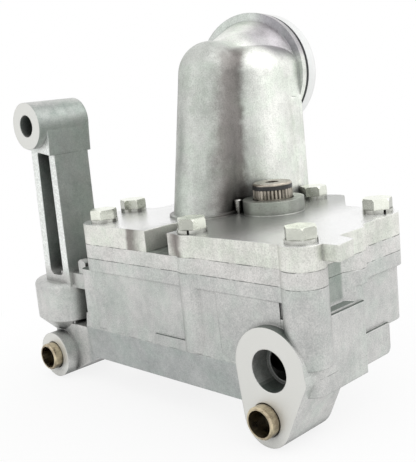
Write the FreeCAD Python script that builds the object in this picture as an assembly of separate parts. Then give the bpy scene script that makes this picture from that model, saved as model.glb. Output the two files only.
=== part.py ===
import FreeCAD, Part
import math
import os

# Engine oil pump: body with a mounting arm, separator plate, cover with a cast
# suction elbow, one pair of spur gears on two shafts. All sizes in millimetres.
# X runs along the block, Y away from the mounting face, Z up along the shafts.
# The origin is the centre of the outlet port on the mounting face.

# Levels of the stack
Z_BLOCK_BOTTOM = -16.5
Z_PARTING = -2.0
Z_DECK_BOTTOM = 3.0
Z_FLANGE_BOTTOM = 24.0
Z_BODY_TOP = 29.5
Z_PLATE_TOP = 35.5
Z_COVER_TOP = 44.0
Z_SHAFT_BOSS_TOP = 49.5
Z_DRIVE_END_TOP = 56.0

# Outline of the stack
FRONT_Y = 3.0
WALL_INSET = 1.2
CORNER_RADIUS = 8.0
END_X = 16.8
LEFT_END_X = -112.9
REAR_END_X = 13.8
# Each corner: place, direction inwards, radius
STACK_CORNERS = [
    ((-104.6, FRONT_Y), (1, 1), CORNER_RADIUS),
    ((END_X, FRONT_Y), (-1, 1), 3.0),
    ((END_X, 37.0), (-1, -1), 1.5),
    ((REAR_END_X, 40.0), (-1, -1), 1.5),
    ((REAR_END_X, 69.2), (-1, -1), CORNER_RADIUS),
    ((-14.0, 69.2), (-1, -1), 4.0),
    ((-31.4, 92.8), (-1, -1), 6.0),
    ((-98.6, 80.0), (1, -1), 6.0),
    ((-98.6, 42.0), (1, -1), 3.0),
    ((LEFT_END_X, 42.0), (1, -1), CORNER_RADIUS),
    ((LEFT_END_X, 32.0), (1, 0), 4.0),
]
LAP = 1.0

# Lower parts of the main casting: plan corners or (depth, height) corners, with radii
LOW_LEFT_INSET = 4.3
LOW_LEFT_X = LEFT_END_X + LOW_LEFT_INSET
LOW_FRONT_RIGHT_X = -6.0
LOW_FRONT_Y = FRONT_Y + 0.4
LOW_REAR_Y = 34.0
STEP_PROFILE = [(13.5, -7.6, 0), (13.5, 4.0, 0), (53.6, 4.0, 0), (53.6, -7.6, 2.5)]
STEP_X = (-44.0, 13.6)
END_BULGE = [(0.0, FRONT_Y + 0.6, 0), (END_X, FRONT_Y + 0.6, 5.5), (END_X, 34.8, 1.5), (0.0, 34.8, 0)]
END_BULGE_Z = (-8.3, 18.0)
RAISED_PAD = [(-25.2, -1.0, 4), (4.0, -1.0, 0), (4.0, 24.0, 0), (-26.2, 24.0, 0)]
RAISED_PAD_Y = (FRONT_Y + 0.5, 12.0)
FRONT_LEDGE = (-62.0, -44.0, FRONT_Y + 0.2, 8.0, -2.2, 2.3)

# Recess in the right end: back wall, outer end and sloping floor
RECESS_BACK_X = 13.6
RECESS_FRONT_Y = 13.0
RECESS_BACK_END_Y = 26.8
RECESS_REAR_Y = 33.0
RECESS_FLOOR_Z = 19.6
RECESS_FLOOR_FALL = 0.47
RECESS_OUT_X = 26.0

# Cored pockets under the casting: plan corners with radii, and their roofs
CORE_FLOOR_Z = -20.0
CORE_LEFT = ([(-104.0, 9.5, 3), (-80.0, 9.5, 3), (-80.0, 29.5, 3), (-104.0, 29.5, 3)], 10.0)
CORE_MIDDLE = ([(-76.0, 9.5, 3), (-52.0, 9.5, 3), (-52.0, 29.5, 3), (-76.0, 29.5, 3)], 22.0)
CORE_REAR = ([(-93.0, 46.0, 4), (-60.5, 46.0, 4), (-60.5, 78.0, 4), (-93.0, 73.0, 4)], 25.0)

# Cover: front pocket and the small lug at its right end
COVER_POCKET = [(-61.6, -2.0, 0), (-48.4, -2.0, 0), (-48.4, 21.0, 2), (-61.6, 21.0, 2)]
COVER_LUG = [(12.0, 9.6, 0), (25.6, 9.2, 1.0), (24.6, 19.2, 1.0), (14.0, 23.0, 0)]
COVER_LUG_HEIGHT = 5.6

# Cover bolts, M6 with hexagon heads
BOLTS = [(-96.6, 11.0), (-104.9, 34.0), (-40.2, 8.6), (11.1, 8.9), (-39.6, 81.8), (6.1, 61.5)]
LEFT_COLUMN = (BOLTS[0], 8.0, -1.0)
MIDDLE_COLUMN = (BOLTS[2], 6.9, -1.5)
RIGHT_COLUMN = (BOLTS[3], 8.0, 2.0)
BOLT_RADIUS = 3.0
BOLT_HEAD_FLATS = 10.0
BOLT_HEAD_TURNS = [8.0, 40.0, 22.0, 15.0, 33.0, 50.0]
BOLT_HEAD_HEIGHT = 4.0
BOLT_TIP_Z = 14.0
BOLT_HOLE_RADIUS = 3.3
THREAD_GAP = 0.05
WASHER_RADIUS = 5.7
WASHER_THICKNESS = 1.5
WASHER_SPLIT = 0.9
WASHER_BORE_GAP = 0.15
BOLT_HEAD_CROWN = (1.3, 0.35)
BOLT_HOLE_RUNOUT = 1.5
WASHER_TURNS = [200.0, 250.0, 300.0, 20.0, 80.0, 330.0]

# Mounting features
PORT_RADIUS = 7.7
PORT_DEPTH = 8.0
PORT_INNER_RADIUS = 6.3
PORT_INNER_DEPTH = 18.0
PORT_PAD_RADIUS = 15.4
RIGHT_DOWEL = (-3.0, -18.5)
LEFT_DOWEL = (-131.8, -18.5)
ARM_EYE = (-130.0, 86.4)
DOWEL_RADIUS = 6.0
DOWEL_WALL = 1.1
DOWEL_SEAT_STEP = 0.2
DOWEL_PROUD = 4.0
DOWEL_SEAT_DEPTH = 8.0
DOWEL_MOUTH_GAP = 0.3
DOWEL_MOUTH_DEPTH = 0.5
DOWEL_PAD_RADIUS = 10.3
SCREW_HOLE_RADIUS = 4.5
SCREW_HOLE_RUN = 40.0
FOOT_BOSS = [((-138.0, 15.3), 14.5), ((-132.5, 13.0), 12.5)]
FOOT_BOSS_ROUND = 2.5
FOOT_BOSS_TAPER = 6.5
FOOT_BOSS_Z0 = -9.0
FOOT_BOSS_Z1 = 15.0
ARM_EYE_RADIUS = 10.2
ARM_BORE_RADIUS = 4.8
ARM_EYE_LENGTH = 26.0
LEFT_LUG_LENGTH = 28.0
RIGHT_LUG_LENGTH = 26.5
LUG_STEP = 3.5
PAD_ROUND = 3.0
PAD_BUMP = [((10.4, -1.6), 5.4), ((4.0, -14.0), 5.0)]
PAD_BUMP_DEPTH = 12.0
ARM_WEB = [(-141.0, -8.0, 3), (-122.0, -8.0, 0), (-121.0, ARM_EYE[1], 0), (-138.6, ARM_EYE[1], 0)]
ARM_WEB_Y = (6.5, 24.5)
ARM_CHANNEL = [(-136.2, 18.0, 3), (-126.2, 18.0, 3), (-125.4, 74.5, 2), (-134.2, 74.5, 2)]
ARM_FRONT_CHANNEL_Y = (6.0, 15.5)
ARM_REAR_CHANNEL_Y = (19.5, 25.0)
ARM_NECK = [(-139.0, 76.0, 0), (-120.9, 73.0, 0), (-119.9, ARM_EYE[1], 0), (-140.1, ARM_EYE[1], 0)]
ARM_NECK_FRONT_Y = 4.0
SHELF = (-131.0, -100.0, 8.5, 24.5, 12.6, 19.5)
SHELF_WALL = (-131.0, -100.0, 13.5, 24.5, -15.0, 13.0)
SHELF_STUB = [(-117.4, 19.0, 0), (-112.0, 19.0, 0), (-112.0, 24.6, 0), (-115.2, 26.2, 1), (-117.4, 25.0, 0.8)]
SHELF_STUB_Y = (9.0, 12.0)
LUG_WEB = [(-137.0, -18.0, 0), (-126.0, -27.0, 0), (-100.0, -14.0, 0), (-100.0, -4.0, 0), (-137.0, -4.0, 0)]
LUG_WEB_Y0 = 6.0

# Gears and shafts
DRIVE_AXIS = (-37.0, 52.0)
MODULE = 2.5
TEETH = 12
PRESSURE_ANGLE = math.radians(25.0)
GEAR_LINE_ANGLE = math.radians(-30.0)
GEAR_FACE_GAP = 0.05
GEAR_TIP_GAP = 0.10
TOOTH_THINNING = 0.10
CHAMBER_FLOOR = 5.0
DRIVE_SHAFT_RADIUS = 8.0
IDLER_SHAFT_RADIUS = 7.0
BUSH_WALL = 2.0
RUNNING_GAP = 0.04
SHAFT_CLEARANCE = 0.4
SEAT_GAP = 0.01
EDGE_BREAK = 0.5
SHAFT_FOOT_Z = -9.0
BEARING_FLOOR_Z = -9.5
BEARING_BOSS_BOTTOM = -13.5
BEARING_BOSS_RADIUS = 13.5
CHAMBER_WALL = 3.6
KEY_WIDTH = 4.0
KEY_LENGTH = 16.0
KEY_RISE = 1.6
KEY_SUNK = 2.0
KEY_Z0 = 9.0
KEYWAY_RISE = 2.0
PITCH_RADIUS = MODULE * TEETH / 2.0
IDLER_AXIS = (
    DRIVE_AXIS[0] + 2.0 * PITCH_RADIUS * math.cos(GEAR_LINE_ANGLE),
    DRIVE_AXIS[1] + 2.0 * PITCH_RADIUS * math.sin(GEAR_LINE_ANGLE),
)
GEAR_TIP_RADIUS = PITCH_RADIUS + 0.95 * MODULE
GEAR_ROOT_RADIUS = PITCH_RADIUS - 1.2 * MODULE
SPLINE_TEETH = 32
SPLINE_DEPTH = 0.45
SPLINE_OFFSET = 0.15
SPLINE_FOOT_GAP = 0.4
SHAFT_BOSS_RADIUS = 12.5
SHAFT_BOSS_LIP = 1.2
RING_Z0 = 53.4
RING_HEIGHT = 1.7
RING_SEAT_RADIUS = 7.0
RING_PLAY = 0.05
IDLER_END_GAP = 0.3
CENTRE_HOLE_RADIUS = 2.7
CENTRE_HOLE_DEPTH = 14.0
DRIVE_FIRST_TOOTH = GEAR_LINE_ANGLE
DRIVEN_FIRST_TOOTH = GEAR_LINE_ANGLE + math.pi + math.pi / TEETH

# Oil ways: pressure pocket and gallery to the outlet, suction channel and pocket
PRESSURE_POCKET = [((-32.0, 17.5), 5.5), ((-32.5, 31.5), 6.5)]
PRESSURE_POCKET_FLOOR = -5.0
GALLERY_Y = 13.5
GALLERY_RADIUS = 5.0
SUCTION_POCKET = [((-17.0, 57.5), 5.5), ((-20.5, 62.5), 4.5)]
SUCTION_POCKET_FLOOR = 8.0
CHANNEL_RUN = [(-62.0, 70.0), (-50.0, 73.5), (-37.0, 70.3), (-25.0, 68.0), (-18.5, 60.5)]
CHANNEL_HALF = 5.2
CHANNEL_ROOF = 3.2

# Locating pins through the stack and the post beside the shaft boss
PINS = [(-84.0, 37.5), (-3.5, 63.5)]
PIN_RADIUS = 3.0
PIN_FOOT_Z = 22.0
PIN_TOP_Z = 41.0
PIN_END_GAP = 0.5
POST_AXIS = (-49.7, 44.4)
POST_RADIUS = 1.6
POST_SEAT = 5.0
POST_HEIGHT = 5.6
POST_CHAMFER = 0.4

# Suction elbow, in its own frame: x across, y along the neck, turned about Z
ELBOW_FOOT = (-63.6, 38.5)
ELBOW_TURN = 11.0
ELBOW_WALL = 3.5
NOSE_FOOT_RADIUS = 12.9
NOSE_KNEE_RADIUS = 13.8
NOSE_KNEE = (14.3, 100.8)
NOSE_LIP = 1.8
NOSE_SINK = 6.0
LOBE_FOOT_HALF = 24.2
LOBE_DRAFT = 0.8
LOBE_TOP_HALF = LOBE_FOOT_HALF - LOBE_DRAFT
LOBE_FRONT_Y = 5.8
LOBE_CENTRE = (1.1, LOBE_FRONT_Y + LOBE_FOOT_HALF)
LOBE_TOP_Z = 111.0
LOBE_SHOULDER = 11.0
VALLEY_RADIUS = 7.0
NECK_FOOT_Y = 22.0
NECK_RADIUS = 24.5
NECK_Z = 99.2
LOBE_REAR_RUN = 16.5
NECK_FACE = LOBE_CENTRE[1] + LOBE_REAR_RUN
COLLAR_RADIUS = 27.0
COLLAR_WIDTH = 2.4
SEAL_GROOVE_WIDTH = 3.0
SEAL_GROOVE_RADIUS = 24.0
SEAL_HEIGHT = 2.3
SEAL_PLAY = 0.3
SPIGOT_RADIUS = 26.6
SPIGOT_LENGTH = 7.6
SPIGOT_END = NECK_FACE + COLLAR_WIDTH + SEAL_GROOVE_WIDTH + SPIGOT_LENGTH
MOUTH_RADIUS = 21.0
SPIGOT_CHAMFER = 0.8
RIB_SINK = 1.2
RIB_PROUD = 0.5
RIB_BACK = (10.5, 8.5, 5.5, 4.5)
RIB_RUN = [NECK_FACE - back for back in RIB_BACK]
RIB_TOP_Z = 88.0
LIP_HEIGHT = 1.2


def flat(z):
    """Places 2-D points on a level plane."""
    return lambda u, v: FreeCAD.Vector(u, v, z)


def upright(y):
    """Places 2-D points on a plane across the depth."""
    return lambda u, v: FreeCAD.Vector(u, y, v)


def side(x):
    """Places 2-D points (depth, height) on a plane across the length."""
    return lambda u, v: FreeCAD.Vector(x, u, v)


def rounded_face(corners, place):
    """Face of a polygon; each corner is (u, v, radius)."""
    count = len(corners)
    starts = []
    ends = []
    mids = []
    for i, (u, v, radius) in enumerate(corners):
        before = corners[i - 1]
        after = corners[(i + 1) % count]
        here = FreeCAD.Vector(u, v, 0)
        back = (FreeCAD.Vector(before[0], before[1], 0) - here).normalize()
        ahead = (FreeCAD.Vector(after[0], after[1], 0) - here).normalize()
        if radius <= 0:
            starts.append(here)
            ends.append(here)
            mids.append(None)
            continue
        half = back.getAngle(ahead) / 2.0
        run = radius / math.tan(half)
        bisector = (back + ahead).normalize()
        centre = here + bisector * (radius / math.sin(half))
        starts.append(here + back * run)
        ends.append(here + ahead * run)
        mids.append(centre - bisector * radius)
    edges = []
    for i in range(count):
        nxt = (i + 1) % count
        if mids[i] is not None:
            points = [place(p.x, p.y) for p in (starts[i], mids[i], ends[i])]
            edges.append(Part.Arc(*points).toShape())
        if (starts[nxt] - ends[i]).Length > 1e-6:
            line_start = place(ends[i].x, ends[i].y)
            line_end = place(starts[nxt].x, starts[nxt].y)
            edges.append(Part.makeLine(line_start, line_end))
    return Part.Face(Part.Wire(edges))


def prism(corners, z0, z1):
    """Upright prism over a rounded polygon."""
    return rounded_face(corners, flat(z0)).extrude(FreeCAD.Vector(0, 0, z1 - z0))


def prism_y(corners, y0, y1):
    """Prism along the depth over a rounded polygon in x, z."""
    return rounded_face(corners, upright(y0)).extrude(FreeCAD.Vector(0, y1 - y0, 0))


def prism_x(corners, x0, x1):
    """Prism along the length over a rounded polygon in y, z."""
    return rounded_face(corners, side(x0)).extrude(FreeCAD.Vector(x1 - x0, 0, 0))


def rod(xy, radius, z0, z1):
    """Upright cylinder."""
    return Part.makeCylinder(radius, z1 - z0, FreeCAD.Vector(xy[0], xy[1], z0))


def rod_y(xz, radius, y0, y1):
    """Cylinder along the depth."""
    return Part.makeCylinder(radius, y1 - y0, FreeCAD.Vector(xz[0], y0, xz[1]), FreeCAD.Vector(0, 1, 0))


def rod_x(yz, radius, x0, x1):
    """Cylinder along the length."""
    return Part.makeCylinder(radius, x1 - x0, FreeCAD.Vector(x0, yz[0], yz[1]), FreeCAD.Vector(1, 0, 0))


def box(x0, x1, y0, y1, z0, z1):
    """Box between two corners."""
    return Part.makeBox(x1 - x0, y1 - y0, z1 - z0, FreeCAD.Vector(x0, y0, z0))


def belt_face(c1, r1, c2, r2, place):
    """Face of the outline that wraps two circles."""
    dx = c2[0] - c1[0]
    dy = c2[1] - c1[1]
    gap = math.hypot(dx, dy)
    axis = math.atan2(dy, dx)
    open_angle = math.acos((r1 - r2) / gap)

    def on(c, r, a):
        return place(c[0] + r * math.cos(a), c[1] + r * math.sin(a))

    left = axis + open_angle
    right = axis - open_angle
    edges = [
        Part.Arc(on(c1, r1, left), on(c1, r1, axis + math.pi), on(c1, r1, right)).toShape(),
        Part.makeLine(on(c1, r1, right), on(c2, r2, right)),
        Part.Arc(on(c2, r2, right), on(c2, r2, axis), on(c2, r2, left)).toShape(),
        Part.makeLine(on(c2, r2, left), on(c1, r1, left)),
    ]
    return Part.Face(Part.Wire(edges))


def belt(c1, r1, c2, r2, z0, z1):
    """Upright prism that wraps two circles."""
    return belt_face(c1, r1, c2, r2, flat(z0)).extrude(FreeCAD.Vector(0, 0, z1 - z0))


def belt_y(c1, r1, c2, r2, y0, y1):
    """Prism along the depth that wraps two circles in x, z."""
    return belt_face(c1, r1, c2, r2, upright(y0)).extrude(FreeCAD.Vector(0, y1 - y0, 0))


def level_edges(shape, z):
    """Edges that lie on one level."""
    return [e for e in shape.Edges if abs(e.BoundBox.ZMin - z) < 0.01 and abs(e.BoundBox.ZMax - z) < 0.01]


def fuse(shapes):
    """One clean solid out of several."""
    return shapes[0].multiFuse(shapes[1:]).removeSplitter()


def stack_outline(inset):
    """Plan outline shared by body, plate and cover, moved inwards."""
    return [(x + i * inset, y + j * inset, radius) for (x, y), (i, j), radius in STACK_CORNERS]


def bolt_holes(z0, z1, radius):
    """Holes of the cover bolts."""
    return [rod(xy, radius, z0, z1) for xy in BOLTS]


def pin_holes(z0, z1):
    """Holes of the locating pins."""
    return [rod(xy, PIN_RADIUS + SEAT_GAP, z0, z1) for xy in PINS]


def columns(z0, z1):
    """Round columns under the three front bolts, kept between two levels."""
    shapes = []
    for xy, radius, foot in (LEFT_COLUMN, MIDDLE_COLUMN, RIGHT_COLUMN):
        shapes.append(rod(xy, radius, max(foot, z0), z1))
    return shapes


def end_recess(z1):
    """Recess in the right end wall of the stack, behind the right column."""
    plan = [
        (RECESS_BACK_X, RECESS_FRONT_Y, 0),
        (RECESS_OUT_X, RECESS_FRONT_Y, 0),
        (RECESS_OUT_X, RECESS_REAR_Y, 0),
        (END_X, RECESS_REAR_Y, 0),
        (RECESS_BACK_X, RECESS_BACK_END_Y, 2.0),
    ]
    fall = RECESS_FLOOR_FALL * (RECESS_OUT_X - RECESS_BACK_X)
    profile = [
        (RECESS_BACK_X, RECESS_FLOOR_Z, 0),
        (RECESS_OUT_X, RECESS_FLOOR_Z - fall, 0),
        (RECESS_OUT_X, z1, 0),
        (RECESS_BACK_X, z1, 0),
    ]
    room = prism(plan, RECESS_FLOOR_Z - fall, z1).common(prism_y(profile, RECESS_FRONT_Y, RECESS_REAR_Y))
    xy, radius, foot = RIGHT_COLUMN
    return room.cut(rod(xy, radius, foot, z1 + LAP))


def pair_belt(pair, z0, z1):
    """Upright prism round a pair of circles, each (centre, radius)."""
    (first, first_radius), (second, second_radius) = pair
    return belt(first, first_radius, second, second_radius, z0, z1)


def make_arm():
    """Channel arm with the upper eye, its foot boss and the lower left lug."""
    eye = rod_y(ARM_EYE, ARM_EYE_RADIUS, 0.0, ARM_EYE_LENGTH)
    neck = prism_y(ARM_NECK, ARM_NECK_FRONT_Y, ARM_EYE_LENGTH)
    web = prism_y(ARM_WEB, *ARM_WEB_Y)
    web = web.cut(prism_y(ARM_CHANNEL, *ARM_FRONT_CHANNEL_Y)).cut(prism_y(ARM_CHANNEL, *ARM_REAR_CHANNEL_Y))
    foot = pair_belt(FOOT_BOSS, FOOT_BOSS_Z0, FOOT_BOSS_Z1)
    foot = foot.makeFillet(FOOT_BOSS_ROUND, level_edges(foot, FOOT_BOSS_Z1))
    foot = foot.makeChamfer(FOOT_BOSS_TAPER, level_edges(foot, FOOT_BOSS_Z0))
    stub = prism_y(SHELF_STUB, *SHELF_STUB_Y)
    lug = rod_y(LEFT_DOWEL, DOWEL_PAD_RADIUS, 0.0, LEFT_LUG_LENGTH)
    lug_web = prism_y(LUG_WEB, LUG_WEB_Y0, LEFT_LUG_LENGTH - LUG_STEP)
    return fuse([web, neck, eye, foot, box(*SHELF), box(*SHELF_WALL), stub, lug, lug_web])


def make_port_ear():
    """Pad that carries the outlet port and the right dowel, with its lug behind."""
    port = (0.0, 0.0)
    pad = belt_y(port, PORT_PAD_RADIUS, RIGHT_DOWEL, DOWEL_PAD_RADIUS, 0.0, RIGHT_LUG_LENGTH)
    pad = pad.makeFillet(PAD_ROUND, [e for e in pad.Edges if e.BoundBox.YMin > RIGHT_LUG_LENGTH - 0.01])
    (upper, upper_radius), (lower, lower_radius) = PAD_BUMP
    bump = belt_y(upper, upper_radius, lower, lower_radius, 0.0, PAD_BUMP_DEPTH)
    return fuse([pad, bump])


def make_block():
    """Outside of the main casting without its arm and ear."""
    lap = Z_DECK_BOTTOM + LAP
    flange = prism(stack_outline(0.0), Z_FLANGE_BOTTOM, Z_BODY_TOP)
    deck = prism(stack_outline(WALL_INSET), Z_DECK_BOTTOM, Z_FLANGE_BOTTOM)
    front_profile = [
        (LOW_FRONT_Y, Z_PARTING, 0),
        (FRONT_Y + WALL_INSET, lap, 0),
        (LOW_REAR_Y, lap, 0),
        (LOW_REAR_Y, Z_BLOCK_BOTTOM, 0),
        (LOW_FRONT_Y + 1.6, Z_BLOCK_BOTTOM, 0),
    ]
    front_low = prism_x(front_profile, LOW_LEFT_X, LOW_FRONT_RIGHT_X)
    corner_x = LEFT_COLUMN[0][0]
    left_plan = [
        (LOW_LEFT_X, LOW_FRONT_Y, 3),
        (corner_x, LOW_FRONT_Y, 0),
        (corner_x, 40.0, 0),
        (LOW_LEFT_X, 40.0, 5),
    ]
    left_low = prism(left_plan, Z_PARTING, Z_FLANGE_BOTTOM)
    step = prism_x(STEP_PROFILE, *STEP_X)
    bulge = prism(END_BULGE, *END_BULGE_Z)
    raised_pad = prism_y(RAISED_PAD, *RAISED_PAD_Y)
    bosses = [
        rod(DRIVE_AXIS, BEARING_BOSS_RADIUS, BEARING_BOSS_BOTTOM, lap),
        rod(IDLER_AXIS, BEARING_BOSS_RADIUS, BEARING_BOSS_BOTTOM, lap),
        rod(DRIVE_AXIS, GEAR_TIP_RADIUS + CHAMBER_WALL, 0.0, lap),
    ]
    solids = [flange, deck, front_low, left_low, step, bulge, raised_pad, box(*FRONT_LEDGE)]
    return solids + bosses + columns(Z_BLOCK_BOTTOM, Z_BODY_TOP)


def make_body():
    """Main casting: gear chamber, bearing bosses, arm, lug and port ear."""
    body = fuse(make_block() + [make_port_ear(), make_arm()])
    top = Z_BODY_TOP + LAP
    cuts = [end_recess(top)]
    for axis, shaft_radius in ((DRIVE_AXIS, DRIVE_SHAFT_RADIUS), (IDLER_AXIS, IDLER_SHAFT_RADIUS)):
        cuts.append(rod(axis, GEAR_TIP_RADIUS + GEAR_TIP_GAP, CHAMBER_FLOOR, top))
        cuts.append(rod(axis, shaft_radius + BUSH_WALL + SEAT_GAP, BEARING_FLOOR_Z, CHAMBER_FLOOR + LAP))
    # Pressure side: pocket beside the mesh, gallery and stepped outlet port
    cuts.append(pair_belt(PRESSURE_POCKET, PRESSURE_POCKET_FLOOR, top))
    cuts.append(rod_x((GALLERY_Y, 0.0), GALLERY_RADIUS, PRESSURE_POCKET[0][0][0], 0.0))
    cuts.append(rod_y((0.0, 0.0), PORT_RADIUS, -LAP, PORT_DEPTH))
    cuts.append(rod_y((0.0, 0.0), PORT_INNER_RADIUS, 0.0, PORT_INNER_DEPTH))
    # Suction side: pocket on the other side of the mesh
    cuts.append(pair_belt(SUCTION_POCKET, SUCTION_POCKET_FLOOR, top))
    for xz in (RIGHT_DOWEL, LEFT_DOWEL):
        seat_radius = DOWEL_RADIUS - DOWEL_SEAT_STEP + SEAT_GAP
        cuts.append(rod_y(xz, seat_radius, -LAP, DOWEL_SEAT_DEPTH))
        # Chamfered mouth, so that the sleeve's wider free end stays clear of the face
        mouth = FreeCAD.Vector(xz[0], 0, xz[1])
        mouth_radius = DOWEL_RADIUS + DOWEL_MOUTH_GAP
        ahead = FreeCAD.Vector(0, 1, 0)
        cuts.append(Part.makeCone(mouth_radius, seat_radius, DOWEL_MOUTH_DEPTH, mouth, ahead))
        cuts.append(rod_y(xz, SCREW_HOLE_RADIUS, 0.0, SCREW_HOLE_RUN))
    cuts.append(rod_y(ARM_EYE, ARM_BORE_RADIUS, -LAP, ARM_EYE_LENGTH + LAP))
    cuts += bolt_holes(BOLT_TIP_Z - BOLT_HOLE_RUNOUT, top, BOLT_RADIUS + THREAD_GAP)
    cuts += pin_holes(PIN_FOOT_Z, top)
    # Cored pockets under the casting, open downwards
    for plan, roof_z in (CORE_LEFT, CORE_MIDDLE, CORE_REAR):
        cuts.append(prism(plan, CORE_FLOOR_Z, roof_z))
    return body.cut(Part.makeCompound(cuts))


def make_plate():
    """Separator plate between the body and the cover."""
    plate = fuse([prism(stack_outline(0.0), Z_BODY_TOP, Z_PLATE_TOP)] + columns(Z_BODY_TOP, Z_PLATE_TOP))
    below = Z_BODY_TOP - LAP
    above = Z_PLATE_TOP + LAP
    cuts = bolt_holes(below, above, BOLT_HOLE_RADIUS) + pin_holes(below, above)
    cuts.append(end_recess(above))
    cuts.append(rod(DRIVE_AXIS, DRIVE_SHAFT_RADIUS + SHAFT_CLEARANCE, below, above))
    cuts.append(rod(IDLER_AXIS, IDLER_SHAFT_RADIUS + BUSH_WALL + SEAT_GAP, below, above))
    cuts.append(pair_belt(SUCTION_POCKET, below, above))
    return plate.cut(Part.makeCompound(cuts))


def lobe_outline(wall, floor_z, whole):
    """Upright outline of the rear lobe: drafted sides under a rounded crown."""
    foot = LOBE_FOOT_HALF - wall
    top = LOBE_TOP_HALF - wall
    top_z = LOBE_TOP_Z - wall
    shoulder = LOBE_SHOULDER - wall
    middle = LOBE_CENTRE[0]
    right = [(middle + foot, floor_z, 0), (middle + top, top_z, shoulder)]
    left = [(middle - top, top_z, shoulder), (middle - foot, floor_z, 0)]
    if not whole:
        left = [(middle, top_z, 0), (middle, floor_z, 0)]
    return rounded_face(right + left, upright(LOBE_CENTRE[1]))


def elbow_room(floor_z, back):
    """Box wider than the elbow, from a floor up and back to a plane."""
    reach = 2.0 * COLLAR_RADIUS
    return box(-reach, reach, -reach, back, floor_z, NECK_Z + reach)


def elbow_volume(wall, floor_z, back):
    """Elbow as a solid, its skin moved inwards by wall."""
    ahead = FreeCAD.Vector(0, 1, 0)
    turn_axis = FreeCAD.Vector(LOBE_CENTRE[0], LOBE_CENTRE[1], 0)
    front = lobe_outline(wall, floor_z, False).revolve(turn_axis, FreeCAD.Vector(0, 0, 1), -180)
    rear = lobe_outline(wall, floor_z, True).extrude(ahead * (back - LOBE_CENTRE[1]))
    knee = FreeCAD.Vector(0, NOSE_KNEE[0], NOSE_KNEE[1])
    knee_radius = NOSE_KNEE_RADIUS - wall
    lean = (knee - FreeCAD.Vector(0, 0, Z_COVER_TOP)).normalize()
    start = knee - lean * ((NOSE_KNEE[1] - floor_z + NOSE_SINK) / lean.z)
    column = Part.makeCone(NOSE_FOOT_RADIUS - wall, knee_radius, (knee - start).Length, start, lean)
    column = column.common(elbow_room(floor_z, NECK_FACE))
    dome = Part.makeSphere(knee_radius, knee)
    bridge = Part.makeCylinder(knee_radius, LOBE_CENTRE[1] - NOSE_KNEE[0], knee, ahead)
    neck_foot = FreeCAD.Vector(0, NECK_FOOT_Y, NOSE_KNEE[1])
    neck_run = FreeCAD.Vector(0, NECK_FACE, NECK_Z) - neck_foot
    overrun = 1.0 + 2.0 / neck_run.Length
    neck_end_radius = knee_radius + (NECK_RADIUS - NOSE_KNEE_RADIUS) * overrun
    neck = Part.makeCone(knee_radius, neck_end_radius, neck_run.Length * overrun, neck_foot, neck_run)
    neck = neck.common(elbow_room(floor_z, NECK_FACE))
    return fuse([front.fuse(rear), column, dome, bridge, neck])


def make_elbow():
    """Suction elbow in its own frame: outer skin, collar, seal groove, spigot."""
    skin = elbow_volume(0.0, Z_COVER_TOP - LAP, NECK_FACE)
    skin = skin.makeFillet(VALLEY_RADIUS, valley_edges(skin))
    ahead = FreeCAD.Vector(0, 1, 0)
    groove_start = NECK_FACE + COLLAR_WIDTH
    groove_end = groove_start + SEAL_GROOVE_WIDTH
    collar_start = FreeCAD.Vector(0, NECK_FACE - LAP, NECK_Z)
    collar = Part.makeCylinder(COLLAR_RADIUS, COLLAR_WIDTH + LAP, collar_start, ahead)
    seat_start = FreeCAD.Vector(0, groove_start, NECK_Z)
    seat = Part.makeCylinder(SEAL_GROOVE_RADIUS, SEAL_GROOVE_WIDTH, seat_start, ahead)
    spigot_start = FreeCAD.Vector(0, groove_end, NECK_Z)
    spigot = Part.makeCylinder(SPIGOT_RADIUS, SPIGOT_END - groove_end, spigot_start, ahead)
    outer_edges = [e for e in spigot.Edges if e.BoundBox.YMin > SPIGOT_END - 0.01]
    spigot = spigot.makeChamfer(SPIGOT_CHAMFER, outer_edges)
    return fuse([skin, collar, seat, spigot, make_rib(1), make_rib(-1)])


def make_rib(way):
    """Upright rib on the flank of the lobe, to the right (1) or to the left (-1)."""
    flank = LOBE_CENTRE[0] + way * LOBE_FOOT_HALF
    inner = flank - way * RIB_SINK
    outer = flank + way * RIB_PROUD
    start, ramp_end, crest_end, end = RIB_RUN
    plan = [(inner, start, 0), (outer, ramp_end, 0), (outer, crest_end, 0), (inner, end, 0)]
    return prism(plan, Z_COVER_TOP - LAP, RIB_TOP_Z)


def valley_edges(skin):
    """Upright creases between the nose column and the rear lobe."""
    edges = []
    lobe_front = LOBE_CENTRE[1] - LOBE_FOOT_HALF
    for edge in skin.Edges:
        bounds = edge.BoundBox
        tall = bounds.ZMax > Z_COVER_TOP + LAP and bounds.ZLength > NOSE_KNEE_RADIUS
        between = bounds.YMin > lobe_front - LAP and bounds.YMax < NOSE_KNEE[0] + LAP
        if tall and between and abs(bounds.Center.x) < NOSE_KNEE_RADIUS and bounds.YMax > 0.0:
            edges.append(edge)
    return edges


def make_elbow_passage():
    """Inside of the elbow, from the cover's underside to the mouth."""
    inner = elbow_volume(ELBOW_WALL, Z_PLATE_TOP - LAP, NECK_FACE - ELBOW_WALL)
    start = FreeCAD.Vector(0, NECK_FACE - ELBOW_WALL - LAP, NECK_Z)
    mouth = Part.makeCylinder(MOUTH_RADIUS, SPIGOT_END + LAP - start.y, start, FreeCAD.Vector(0, 1, 0))
    return fuse([inner, mouth])


def to_pump(shape):
    """Moves a shape from the elbow's frame into the pump's frame."""
    placed = shape.copy()
    placed.rotate(FreeCAD.Vector(0, 0, 0), FreeCAD.Vector(0, 0, 1), ELBOW_TURN)
    placed.translate(FreeCAD.Vector(ELBOW_FOOT[0], ELBOW_FOOT[1], 0))
    return placed


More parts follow.
